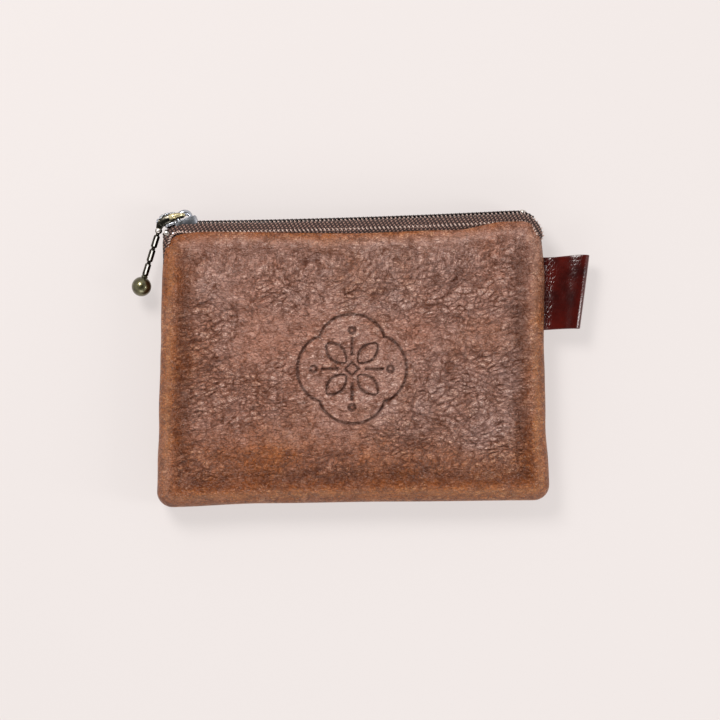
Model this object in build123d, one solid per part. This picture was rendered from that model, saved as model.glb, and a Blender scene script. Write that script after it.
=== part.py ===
from build123d import *
import math
import os

# A leather zip pouch lying on its back: +X to the right, +Y towards the zip, +Z out of the front.
# The origin is the middle of the flat back face. All sizes are in millimetres and degrees.

# Driving sizes of the leather body
THICKNESS = 14.0
MID_Z = THICKNESS / 2
HALF_TOP = 57.4
HALF_BOTTOM = 59.5
BOTTOM_Y = -43.6
BOTTOM_TILT = 1.0
BOTTOM_CORNER = 4.5
TOP_CORNER = 8.0
RIM_ROUND = 5.6
LEATHER = 1.4
SKIVED = 0.9
ALLOWANCE = 5.0

# The zip runs along the top ridge, in its own frame: u along the chain, v up, w across the mouth
RIDGE_Y = 43.8
RIDGE_TILT = 1.85
LIP_V = -4.6
TAPE = 0.45
TAPE_V = -1.3
TAPE_HALF = 4.35
TAPE_DEPTH = 12.0
TAPE_CORNER = 3.0
COIL_HALF = 1.5
COIL_GAP = 0.03
COIL_PARTING = 1.15
COIL_PARTED = 1.35
CHAIN_LEFT = -59.6
CHAIN_RIGHT = 50.0
HEM = 0.75
HEM_DEPTH = 7.5
ZIP_SEAM_V = -9.8

# Slider and pull, from the middle of the slider
SLIDER_U = -53.2
SLIDER_LENGTH = 9.2
SLIDER_MOUTH = 3.8
SLIDER_TAIL = 3.1
PLATE = 1.0
PLATE_V = 0.15
FLANGE_V = -1.1
FLOOR_V = -1.95
CHANNEL_MOUTH = 3.0
CHANNEL_TAIL = 1.75
BRIDGE_S = 1.9
BRIDGE_HALF = 2.5
BRIDGE_RISE = 2.0
BRIDGE_WIDTH = 1.6
BRIDGE_METAL = 0.65
EYE_V = 1.85
EYE_WIRE = 0.9
CHEEK = 0.7
PLAY = 0.2
FORK_IN = 0.5
FORK_OUT = 1.0
KNEE = (-5.6, 1.9)
PIVOT = (-5.9, -2.7)
ROD_ANGLE = 251.0
ROD_SIZE = 1.8
ROD_GROOVE = 1.1
BALL_REACH = 17.7
BALL_RADIUS = 3.0
PIN = 0.8
PIN_HEAD = 0.3
STOP_GAP = 0.2
STOP_LENGTH = 1.4
STOP_IN = 1.3
STOP_OUT = 3.1

# Side tab
TAB_TOP = 31.6
TAB_BOTTOM = 9.2
TAB_REACH = 69.7
TAB_SLANT = 7.5
TAB_TAIL = 52.8
TAB_LEATHER = 1.1
TAB_GAP = 0.15

# Thread
THREAD = 0.35
STITCH = 3.2
SEAM_INSET = 3.0

OVER = 5.0


def prism(points, start, end, along):
    """A closed outline swept straight along one axis from start to end."""
    place = {
        "x": lambda a, b: (start, a, b),
        "y": lambda a, b: (a, start, b),
        "z": lambda a, b: (a, b, start),
    }[along]
    way = {"x": (1, 0, 0), "y": (0, 1, 0), "z": (0, 0, 1)}[along]
    face = Face(Wire.make_polygon([place(a, b) for a, b in points], close=True))
    return extrude(face, amount=end - start, dir=way)


def block(x0, x1, y0, y1, z0, z1):
    """A box between two corners."""
    size = Box(x1 - x0, y1 - y0, z1 - z0)
    return Pos((x0 + x1) / 2, (y0 + y1) / 2, (z0 + z1) / 2) * size


def round_bar(start, end, radius):
    """A round bar between two points."""
    run = Vector(*end) - Vector(*start)
    plane = Plane(origin=start, z_dir=run)
    return plane * Cylinder(radius, run.length, align=(Align.CENTER, Align.CENTER, Align.MIN))


def zip_placed(shape):
    """Carry a shape from the zip's frame into the pouch's frame."""
    return Pos(0, RIDGE_Y, MID_Z) * Rot(0, 0, RIDGE_TILT) * shape


def slider_placed(shape):
    """Carry a shape from the slider's frame into the pouch's frame."""
    return zip_placed(Pos(SLIDER_U, 0, 0) * shape)


def half_width(y):
    """Half the body's width at a height: the sides spread towards the bottom."""
    share = (RIDGE_Y - y) / (RIDGE_Y - BOTTOM_Y)
    return HALF_TOP + (HALF_BOTTOM - HALF_TOP) * share


def outline(inset, top_v, top_corner, bottom_corner):
    """The body's front outline, moved in by inset, closed along the zip at top_v."""
    rise = math.tan(math.radians(RIDGE_TILT)) * HALF_TOP
    drop = math.tan(math.radians(BOTTOM_TILT)) * HALF_BOTTOM
    top = RIDGE_Y + top_v
    low = BOTTOM_Y + inset
    corners = [
        (-half_width(low) + inset, low - drop),
        (half_width(low) - inset, low + drop),
        (half_width(top) - inset, top + rise),
        (-half_width(top) + inset, top - rise),
    ]
    face = make_face(Polyline(*corners, close=True))
    points = face.vertices().sort_by(Axis.Y)
    face = fillet(points[:2], bottom_corner)
    points = face.vertices().sort_by(Axis.Y)
    return fillet(points[-2:], top_corner)


def half_shell():
    """One leather side as if it faced up, with its seam plane at z = 0."""
    height = MID_Z
    outer = extrude(outline(0, LIP_V, TOP_CORNER - 2, BOTTOM_CORNER), amount=height)
    rim = outer.edges().group_by(Axis.Z)[-1]
    outer = fillet(rim, RIM_ROUND)
    core = extrude(outline(LEATHER, LIP_V - LEATHER, TOP_CORNER - 3, BOTTOM_CORNER - LEATHER),
                   amount=height - LEATHER)
    roof = core.edges().group_by(Axis.Z)[-1]
    core = fillet(roof, RIM_ROUND - LEATHER)
    shell = outer - core
    # the mouth: nothing closes the top side below the lip
    mouth_z = TAPE_HALF + 0.05
    mouth = Pos(0, RIDGE_Y, 0) * Rot(0, 0, RIDGE_TILT) * block(
        -HALF_TOP + ALLOWANCE, HALF_TOP - ALLOWANCE, LIP_V - 2 * LEATHER, OVER, -OVER, mouth_z)
    return shell - mouth


def seam_flange():
    """The seam allowance inside the left, bottom and right sides, skived thin, seam plane z = 0."""
    ring = extrude(outline(LEATHER, LIP_V - LEATHER, TOP_CORNER - 3, BOTTOM_CORNER - LEATHER),
                   amount=SKIVED)
    hole = extrude(outline(LEATHER + ALLOWANCE, OVER, 1.0, 1.0), amount=SKIVED)
    clear = Pos(0, RIDGE_Y, 0) * Rot(0, 0, RIDGE_TILT) * block(
        -HALF_TOP - OVER, HALF_TOP + OVER, -TAPE_DEPTH - 0.5, OVER, -OVER, OVER)
    return ring - hole - clear


def hem():
    """The turned edge of the leather along the zip, seam plane z = 0."""
    reach = HALF_TOP - ALLOWANCE - 1
    strip = block(-reach, reach, LIP_V - HEM_DEPTH, LIP_V - LEATHER / 2, TAPE_HALF, TAPE_HALF + HEM)
    return Pos(0, RIDGE_Y, 0) * Rot(0, 0, RIDGE_TILT) * strip


def tab_envelope(extra):
    """The space the two plies of the side tab fill in the side seam."""
    half = TAB_LEATHER + TAB_GAP + extra
    return block(TAB_TAIL - extra, TAB_REACH + OVER, TAB_BOTTOM - 1 - extra, TAB_TOP + 1 + extra,
                 MID_Z - half, MID_Z + half)


def panel(front):
    """One leather panel with its allowances turned in."""
    side = half_shell() + seam_flange() + hem()
    if front:
        side = Pos(0, 0, MID_Z) * side - zip_tape(1)
    else:
        side = Pos(0, 0, MID_Z) * mirror(side, about=Plane.XY) - zip_tape(-1)
    return side - tab_envelope(0.05)


def zip_tape(sign):
    """Half of the zip tape: flat under the coil, then turned down inside the leather."""
    section = [
        (TAPE_V, 0.9), (TAPE_V, TAPE_HALF), (-TAPE_DEPTH, TAPE_HALF),
        (-TAPE_DEPTH, TAPE_HALF - TAPE), (TAPE_V - TAPE, TAPE_HALF - TAPE), (TAPE_V - TAPE, 0.9),
    ]
    strip = prism([(v, sign * w) for v, w in section], CHAIN_LEFT, HALF_TOP + OVER, "x")
    # the tape parts round the slider's neck
    low, high = sorted((0, sign * COIL_HALF))
    gap = block(CHAIN_LEFT - 1, SLIDER_U - 1.8, -OVER, OVER, low, high)
    strip = zip_placed(strip - gap)
    silhouette = extrude(outline(-0.4, 0, TAPE_CORNER, BOTTOM_CORNER), amount=THICKNESS)
    return strip & silhouette


def coil(sign):
    """One chain half as a plain strip: meshed to the right of the slider, parted to its left."""
    u = SLIDER_U
    end = u - SLIDER_LENGTH / 2 - STOP_GAP
    path = [
        (CHAIN_RIGHT, COIL_GAP), (u + 1.0, COIL_GAP), (u - 2.4, COIL_PARTING),
        (end, COIL_PARTED), (end, COIL_PARTED + COIL_HALF), (u - 2.4, COIL_PARTING + COIL_HALF),
        (u + 1.0, COIL_HALF), (CHAIN_RIGHT, COIL_HALF),
    ]
    return zip_placed(prism([(a, sign * w) for a, w in path], TAPE_V, 0, "y"))


def top_stop(sign):
    """A metal clamp on the end of one coil, left of the slider."""
    u = SLIDER_U - SLIDER_LENGTH / 2 - STOP_GAP
    low, high = sorted((sign * STOP_IN, sign * STOP_OUT))
    clamp = block(u - STOP_LENGTH, u, TAPE_V - TAPE - 0.3, 0.2, low, high)
    clamp = fillet(clamp.edges().filter_by(Axis.X), 0.3)
    return zip_placed(clamp) - zip_tape(sign)


def bottom_stop():
    """A metal clamp across both coils at the right end of the chain."""
    clamp = block(CHAIN_RIGHT + 0.05, CHAIN_RIGHT + 2.2, TAPE_V, 0.25, -2.0, 2.0)
    return zip_placed(fillet(clamp.edges().filter_by(Axis.X), 0.4))


def slider_outline():
    """The slider's plan: wide at the mouth, narrow at the tail."""
    half = SLIDER_LENGTH / 2
    right = [(-half, SLIDER_MOUTH), (-1.5, SLIDER_MOUTH), (1.0, SLIDER_TAIL), (half, SLIDER_TAIL)]
    return right + [(s, -w) for s, w in reversed(right)]


def channel():
    """The space the two coils run through under the slider's top plate."""
    half = SLIDER_LENGTH / 2 + 1
    right = [
        (-half, CHANNEL_MOUTH), (-2.2, CHANNEL_MOUTH), (1.0, CHANNEL_TAIL), (half, CHANNEL_TAIL),
    ]
    return right + [(s, -w) for s, w in reversed(right)]


def slider_body():
    """Cast slider: top plate with side flanges, floor plate, neck and bridge."""
    top = prism(slider_outline(), FLANGE_V, PLATE_V + PLATE, "y")
    upright = top.edges().filter_by(Axis.Y)
    top = fillet(upright, 0.8)
    top = top - prism(channel(), FLANGE_V - 1, PLATE_V, "y")
    floor = prism(slider_outline(), FLOOR_V - PLATE, FLOOR_V, "y")
    floor = fillet(floor.edges().filter_by(Axis.Y), 0.8)
    neck_plan = [(-1.0, 0), (-2.4, 0.8), (-4.3, 0.9), (-4.3, -0.9), (-2.4, -0.8)]
    neck = prism(neck_plan, FLOOR_V - PLATE / 2, PLATE_V + PLATE / 2, "y")
    arch = Pos(BRIDGE_S, PLATE_V + PLATE, 0) * extrude(
        make_face(Ellipse(BRIDGE_HALF, BRIDGE_RISE).edges()), amount=BRIDGE_WIDTH / 2, both=True)
    hole = Pos(BRIDGE_S, PLATE_V + PLATE, 0) * extrude(
        make_face(Ellipse(BRIDGE_HALF - 0.8, BRIDGE_RISE - BRIDGE_METAL).edges()),
        amount=BRIDGE_WIDTH, both=True)
    upper = block(-OVER, OVER, PLATE_V + PLATE - 0.3, OVER, -OVER, OVER)
    bridge = (arch & upper) - (hole & block(-OVER, OVER, PLATE_V + PLATE, OVER, -OVER, OVER))
    return slider_placed(top + floor + neck + bridge)


def puller_arm():
    """Cranked link: an eye bar under the bridge, two cheeks beside it, and a fork at the pivot."""
    inner = BRIDGE_WIDTH / 2 + PLAY
    outer = inner + CHEEK
    half = EYE_WIRE / 2
    bar = round_bar((BRIDGE_S, EYE_V, -outer), (BRIDGE_S, EYE_V, outer), half)
    web_end = -1.6
    arm = bar
    for sign in (1, -1):
        low, high = sorted((sign * inner, sign * outer))
        arm += block(web_end - 0.6, BRIDGE_S, EYE_V - half, EYE_V + half, low, high)
        arm += round_bar((BRIDGE_S, EYE_V, low), (BRIDGE_S, EYE_V, high), half)
    arm += block(KNEE[0] - half, web_end, EYE_V - half, EYE_V + half, -outer, outer)
    arm += block(KNEE[0] - half, KNEE[0] + half, EYE_V - 1.6, EYE_V, -FORK_OUT, FORK_OUT)
    for sign in (1, -1):
        low, high = sorted((sign * FORK_IN, sign * FORK_OUT))
        leg = [
            (KNEE[0] - half, EYE_V - 1), (KNEE[0] + half, EYE_V - 1),
            (PIVOT[0] + 0.7, PIVOT[1]), (PIVOT[0] - 0.7, PIVOT[1]),
        ]
        arm += prism(leg, low, high, "z")
        arm += round_bar((*PIVOT, low), (*PIVOT, high), 0.85)
    hole = round_bar((*PIVOT, -2), (*PIVOT, 2), PIN / 2)
    return slider_placed(arm - hole)


def hinge_pin():
    """The pin through the fork, held by its two small heads."""
    pin = round_bar((*PIVOT, -FORK_OUT), (*PIVOT, FORK_OUT), PIN / 2)
    for sign in (1, -1):
        low, high = sorted((sign * FORK_OUT, sign * (FORK_OUT + PIN_HEAD)))
        pin += round_bar((*PIVOT, low), (*PIVOT, high), PIN / 2 + 0.2)
    return slider_placed(pin)


def along_rod(distance):
    """A point on the rod's centre line, measured from the pivot."""
    turn = math.radians(ROD_ANGLE)
    return (PIVOT[0] + distance * math.cos(turn), PIVOT[1] + distance * math.sin(turn), 0)


def rod_solid():
    """Turned rod in three faceted lengths with grooves between, in the slider's frame."""
    eye_half = FORK_IN - 0.05
    eye = round_bar((*PIVOT, -eye_half), (*PIVOT, eye_half), 1.05)
    first = 1.4
    last = BALL_REACH - BALL_RADIUS
    rod = eye + round_bar(along_rod(0.8), along_rod(last + 1.5), ROD_GROOVE / 2)
    run = (last - first) / 3
    for index in range(3):
        plane = Plane(origin=along_rod(first + index * run), x_dir=(0, 0, 1),
                      z_dir=Vector(*along_rod(1)) - Vector(*along_rod(0)))
        length = run - 0.5
        rod += extrude(plane * RegularPolygon(ROD_SIZE / 2, 6, major_radius=False), amount=length)
    return rod - round_bar((*PIVOT, -2), (*PIVOT, 2), PIN / 2 + 0.05)


def pull_rod():
    return slider_placed(rod_solid())


def pull_ball():
    """The ball on the rod's end, bored for it."""
    ball = Pos(*along_rod(BALL_REACH)) * Sphere(BALL_RADIUS)
    return slider_placed(ball - rod_solid())


def side_tab():
    """A strip folded into a loop, its two ends caught in the right-hand seam."""
    half = TAB_LEATHER + TAB_GAP
    reach = 30
    inside = TAB_GAP
    loop = Pos(-reach / 2, 0, 0) * Box(reach, 60, 2 * half)
    loop += Rot(90, 0, 0) * Cylinder(half, 60)
    slot = Pos(-reach / 2 - 0.5, 0, 0) * Box(reach + 1, 61, 2 * inside)
    slot += Rot(90, 0, 0) * Cylinder(inside, 61)
    middle = (TAB_TOP + TAB_BOTTOM) / 2
    loop = Pos(TAB_REACH - half, middle, MID_Z) * Rot(0, 0, -TAB_SLANT) * (loop - slot)
    plan = [
        (TAB_TAIL, TAB_BOTTOM), (TAB_REACH + OVER, TAB_BOTTOM + 0.5),
        (TAB_REACH + OVER, TAB_TOP + 0.5), (TAB_TAIL, TAB_TOP - 0.4),
    ]
    return loop & prism(plan, 0, THICKNESS, "z")


def stitch_line(length, upper, lower):
    """One lockstitched seam along x from 0, as a thread that crosses the layers at each hole."""
    count = int(length // STITCH)
    top = []
    bottom = []
    for index in range(count):
        x = index * STITCH
        if index % 2 == 0:
            top += [(x, upper + THREAD), (x + STITCH + THREAD, upper + THREAD)]
            bottom += [(x + THREAD, upper), (x + STITCH, upper)]
        else:
            top += [(x + THREAD, lower), (x + STITCH, lower)]
            bottom += [(x, lower - THREAD), (x + STITCH + THREAD, lower - THREAD)]
    return prism(top + bottom[::-1], -THREAD / 2, THREAD / 2, "y")


def seam_between(start, end, upper, lower):
    """A stitched seam from one point to another, in the plane of the body."""
    run = Vector(*end) - Vector(*start)
    turn = math.degrees(math.atan2(run.Y, run.X))
    return Pos(start[0], start[1], MID_Z) * Rot(0, 0, turn) * stitch_line(run.length, upper, lower)


def seam_threads():
    """The hidden seams that join the panels; the right one ends below the tab's own stitches."""
    inset = LEATHER + SEAM_INSET
    low = BOTTOM_Y + inset
    drop = math.tan(math.radians(BOTTOM_TILT)) * (half_width(low) - 6)
    high = RIDGE_Y - TAPE_DEPTH - 4
    left_low = (-half_width(low) + inset, low + 3)
    left_high = (-half_width(high) + inset, high)
    under_tab = TAB_BOTTOM - 2.5
    right_low = (half_width(low) - inset, low + 3)
    right_high = (half_width(under_tab) - inset, under_tab)
    bottom_left = (-half_width(low) + 6, low - drop)
    bottom_right = (half_width(low) - 6, low + drop)
    up = SKIVED
    return {
        "seam_thread_bottom": seam_between(bottom_left, bottom_right, up, -up),
        "seam_thread_left": seam_between(left_low, left_high, up, -up),
        "seam_thread_right": seam_between(right_low, right_high, up, -up),
    }


def tab_thread():
    """The stitches that hold the tab's two ends in the seam."""
    half = TAB_LEATHER + TAB_GAP
    x = half_width(TAB_BOTTOM) - LEATHER - SEAM_INSET
    return seam_between((x, TAB_BOTTOM + 1.5), (x, TAB_TOP - 1.5), half, -half)


def zip_thread(sign):
    """The seam that holds one tape to the turned leather edge."""
    reach = HALF_TOP - ALLOWANCE - 3
    line = stitch_line(2 * reach, TAPE_HALF + HEM, TAPE_HALF - TAPE)
    if sign < 0:
        line = mirror(line, about=Plane.XY)
    return zip_placed(Pos(-reach, ZIP_SEAM_V, 0) * line)


parts = {
    "front_panel": panel(True),
    "back_panel": panel(False),
    "front_zip_tape": zip_tape(1),
    "back_zip_tape": zip_tape(-1),
    "front_coil": coil(1),
    "back_coil": coil(-1),
    "front_top_stop": top_stop(1),
    "back_top_stop": top_stop(-1),
    "bottom_stop": bottom_stop(),
    "slider_body": slider_body(),
    "puller_arm": puller_arm(),
    "hinge_pin": hinge_pin(),
    "pull_rod": pull_rod(),
    "pull_ball": pull_ball(),
    "side_tab": side_tab(),
    "tab_thread": tab_thread(),
    "zip_thread_front": zip_thread(1),
    "zip_thread_back": zip_thread(-1),
    **seam_threads(),
}

os.makedirs("parts", exist_ok=True)
for name, shape in parts.items():
    export_step(shape, f"parts/{name}.step")
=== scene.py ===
import math

import bmesh
import bpy
import numpy as np
from mathutils import Matrix, Vector, noise


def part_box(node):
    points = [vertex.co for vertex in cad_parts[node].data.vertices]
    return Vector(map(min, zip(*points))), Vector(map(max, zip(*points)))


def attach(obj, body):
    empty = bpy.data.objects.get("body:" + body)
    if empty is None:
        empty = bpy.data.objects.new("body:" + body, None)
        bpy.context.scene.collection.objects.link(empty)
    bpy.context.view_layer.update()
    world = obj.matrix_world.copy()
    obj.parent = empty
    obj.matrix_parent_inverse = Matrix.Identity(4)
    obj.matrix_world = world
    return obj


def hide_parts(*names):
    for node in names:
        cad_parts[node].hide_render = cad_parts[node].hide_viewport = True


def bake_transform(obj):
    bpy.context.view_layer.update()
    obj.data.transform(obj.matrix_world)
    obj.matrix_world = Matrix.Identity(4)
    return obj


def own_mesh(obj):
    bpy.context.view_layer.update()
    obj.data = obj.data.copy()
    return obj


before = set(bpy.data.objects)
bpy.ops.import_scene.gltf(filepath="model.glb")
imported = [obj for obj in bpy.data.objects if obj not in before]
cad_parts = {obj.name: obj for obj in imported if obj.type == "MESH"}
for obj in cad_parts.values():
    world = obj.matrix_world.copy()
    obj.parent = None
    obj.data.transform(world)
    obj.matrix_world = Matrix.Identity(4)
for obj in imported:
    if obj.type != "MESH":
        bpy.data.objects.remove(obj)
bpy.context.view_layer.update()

MM = 0.001

# The pouch in millimetres, in the CAD frame: +X along the zip, +Y towards it, +Z out of the front.
THICK = (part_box("front_panel")[1].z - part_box("back_panel")[0].z) / MM
MID = THICK / 2
LEATHER = 1.4

# Zip frame: u along the chain, v up out of the mouth, w across it.
RIDGE_Y = 43.8
RIDGE_TILT = math.radians(1.85)
SLIDER_U = -53.2
SLIDER_TILT = math.radians(17)
PITCH = 1.27
TURN_STEPS = 14


def smooth_step(x, low, high):
    t = min(max((x - low) / (high - low), 0.0), 1.0)
    return t * t * (3 - 2 * t)


def ramp(x, points):
    """Smooth curve through a few (x, value) points."""
    if x <= points[0][0]:
        return points[0][1]
    for (x0, y0), (x1, y1) in zip(points, points[1:]):
        if x <= x1:
            return y0 + (y1 - y0) * smooth_step(x, x0, x1)
    return points[-1][1]


def zip_matrix():
    return Matrix.Translation((0, RIDGE_Y, MID)) @ Matrix.Rotation(RIDGE_TILT, 4, "Z")


# ---------------------------------------------------------------- mesh helpers


def add_mesh(name, vertices, faces, smooth=True):
    """A mesh object from points in millimetres."""
    mesh = bpy.data.meshes.new(name)
    mesh.from_pydata([tuple(c * MM for c in v) for v in vertices], [], faces)
    mesh.validate()
    mesh.update()
    piece = bpy.data.objects.new(name, mesh)
    bpy.context.scene.collection.objects.link(piece)
    bm = bmesh.new()
    bm.from_mesh(mesh)
    bmesh.ops.recalc_face_normals(bm, faces=bm.faces)
    bm.to_mesh(mesh)
    bm.free()
    for polygon in mesh.polygons:
        polygon.use_smooth = smooth
    return piece


def apply_modifiers(piece):
    bpy.context.view_layer.update()
    graph = bpy.context.evaluated_depsgraph_get()
    mesh = bpy.data.meshes.new_from_object(piece.evaluated_get(graph))
    piece.modifiers.clear()
    old = piece.data
    piece.data = mesh
    bpy.data.meshes.remove(old)
    return piece


def bevel(piece, width, segments=3, angle=35):
    mod = piece.modifiers.new("bevel", "BEVEL")
    mod.width = width * MM
    mod.segments = segments
    mod.limit_method = "ANGLE"
    mod.angle_limit = math.radians(angle)
    mod.harden_normals = False
    return apply_modifiers(piece)


def loft(rings, closed=True, caps=True):
    """Vertices and faces that join rings of equal size."""
    count = len(rings[0])
    vertices = [p for ring in rings for p in ring]
    faces = []
    last = count if closed else count - 1
    for i in range(len(rings) - 1):
        for j in range(last):
            a = i * count + j
            b = i * count + (j + 1) % count
            faces.append((a, b, b + count, a + count))
    if caps:
        faces.append(tuple(range(count))[::-1])
        faces.append(tuple(range(len(vertices) - count, len(vertices))))
    return vertices, faces


def grid_faces(rows, columns):
    """Faces of a grid whose points are listed row by row."""
    faces = []
    for j in range(rows - 1):
        for i in range(columns - 1):
            k = j * columns + i
            faces.append((k, k + 1, k + 1 + columns, k + columns))
    return faces


def mark(piece, label, values):
    """Store one number for each point, for a material to read."""
    attribute = piece.data.attributes.new(label, "FLOAT", "POINT")
    attribute.data.foreach_set("value", np.array(values, np.float32))


def joined(chunks):
    """One vertex and face list out of several."""
    vertices, faces = [], []
    for some, more in chunks:
        start = len(vertices)
        vertices += some
        faces += [tuple(start + i for i in face) for face in more]
    return vertices, faces


def frames_along(points):
    """A tangent, a side and an up at each point, turned as little as possible from one to the next."""
    points = [Vector(p) for p in points]
    out = []
    side = None
    for i, p in enumerate(points):
        ahead = points[min(i + 1, len(points) - 1)]
        behind = points[max(i - 1, 0)]
        tangent = (ahead - behind).normalized()
        if side is None:
            helper = Vector((0, 0, 1)) if abs(tangent.z) < 0.9 else Vector((1, 0, 0))
            side = tangent.cross(helper).normalized()
        side = (side - tangent * side.dot(tangent)).normalized()
        out.append((p, tangent, side, tangent.cross(side)))
    return out


def tube(points, radius, sides=8, caps=True):
    """A round tube along points; radius is a number or one number for each point."""
    rings = []
    for i, (p, _, side, up) in enumerate(frames_along(points)):
        r = radius[i] if isinstance(radius, (list, tuple)) else radius
        ring = []
        for k in range(sides):
            turn = 2 * math.pi * k / sides
            ring.append(p + (side * math.cos(turn) + up * math.sin(turn)) * r)
        rings.append(ring)
    return loft(rings, caps=caps)


def slab(outline, low, high, place):
    """A flat outline with thickness; place turns (a, b, height) into a point."""
    rings = [[place(a, b, h) for a, b in outline] for h in (low, high)]
    return loft(rings)


def arc(centre, radius, start, end, steps):
    """Points on an arc, angles in degrees."""
    out = []
    for k in range(steps + 1):
        turn = math.radians(start + (end - start) * k / steps)
        out.append((centre[0] + radius * math.cos(turn), centre[1] + radius * math.sin(turn)))
    return out


# ---------------------------------------------------------------- materials


class Nodes:
    """Short names for building one material's node tree."""

    def __init__(self, name):
        self.material = bpy.data.materials.new(name)
        self.material.use_nodes = True
        self.tree = self.material.node_tree
        self.shader = self.tree.nodes["Principled BSDF"]
        coords = self.tree.nodes.new("ShaderNodeTexCoord")
        self.place = coords.outputs["Object"]

    def new(self, kind, **values):
        node = self.tree.nodes.new(kind)
        for key, value in values.items():
            setattr(node, key, value)
        return node

    def link(self, a, b):
        self.tree.links.new(a, b)

    def scaled(self, x, y, z, turn=0.0):
        node = self.new("ShaderNodeMapping")
        node.inputs["Scale"].default_value = (x, y, z)
        node.inputs["Rotation"].default_value = (0, 0, turn)
        self.link(self.place, node.inputs["Vector"])
        return node.outputs["Vector"]

    def noise(self, scale, detail=4.0, rough=0.55, vector=None, distortion=0.0):
        node = self.new("ShaderNodeTexNoise")
        node.inputs["Scale"].default_value = scale
        node.inputs["Detail"].default_value = detail
        node.inputs["Roughness"].default_value = rough
        node.inputs["Distortion"].default_value = distortion
        self.link(vector or self.place, node.inputs["Vector"])
        return node.outputs["Fac"]

    def cells(self, scale, vector):
        """How far a point is from the edges between the cells."""
        node = self.new("ShaderNodeTexVoronoi", feature="DISTANCE_TO_EDGE")
        node.inputs["Scale"].default_value = scale
        self.link(vector, node.inputs["Vector"])
        return node.outputs["Distance"]

    def attribute(self, name):
        return self.new("ShaderNodeAttribute", attribute_name=name).outputs["Fac"]

    def math(self, operation, a, b, clamp=False):
        node = self.new("ShaderNodeMath", operation=operation, use_clamp=clamp)
        for socket, value in zip(node.inputs, (a, b)):
            if isinstance(value, (int, float)):
                socket.default_value = value
            else:
                self.link(value, socket)
        return node.outputs[0]

    def range(self, value, low, high, to_low=0.0, to_high=1.0):
        node = self.new("ShaderNodeMapRange")
        node.inputs["From Min"].default_value = low
        node.inputs["From Max"].default_value = high
        node.inputs["To Min"].default_value = to_low
        node.inputs["To Max"].default_value = to_high
        self.link(value, node.inputs["Value"])
        return node.outputs["Result"]

    def mix(self, factor, a, b):
        node = self.new("ShaderNodeMix", data_type="RGBA")
        self.link(factor, node.inputs[0])
        for socket, value in ((node.inputs[6], a), (node.inputs[7], b)):
            if isinstance(value, tuple):
                socket.default_value = (*value, 1)
            else:
                self.link(value, socket)
        return node.outputs[2]

    def tint(self, base, mask, share, colour, low=0, high=1):
        """Lay colour over base, up to share of it, as mask goes from low to high."""
        return self.mix(self.range(mask, low, high, 0, share), base, colour)

    def bump(self, height, distance, strength=1.0, after=None):
        node = self.new("ShaderNodeBump")
        node.inputs["Strength"].default_value = strength
        node.inputs["Distance"].default_value = distance * MM
        self.link(height, node.inputs["Height"])
        if after is not None:
            self.link(after, node.inputs["Normal"])
        return node.outputs["Normal"]

    def set(self, **values):
        names = {"base": "Base Color", "rough": "Roughness", "normal": "Normal", "metal": "Metallic",
                 "coat": "Coat Weight", "coat_rough": "Coat Roughness", "specular": "Specular IOR Level",
                 "sheen": "Sheen Weight", "glow": "Emission Strength", "glow_colour": "Emission Color"}
        for key, value in values.items():
            socket = self.shader.inputs[names[key]]
            if isinstance(value, tuple):
                socket.default_value = (*value, 1)
            elif isinstance(value, (int, float)):
                socket.default_value = value
            else:
                self.link(value, socket)
        return self.material


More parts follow.
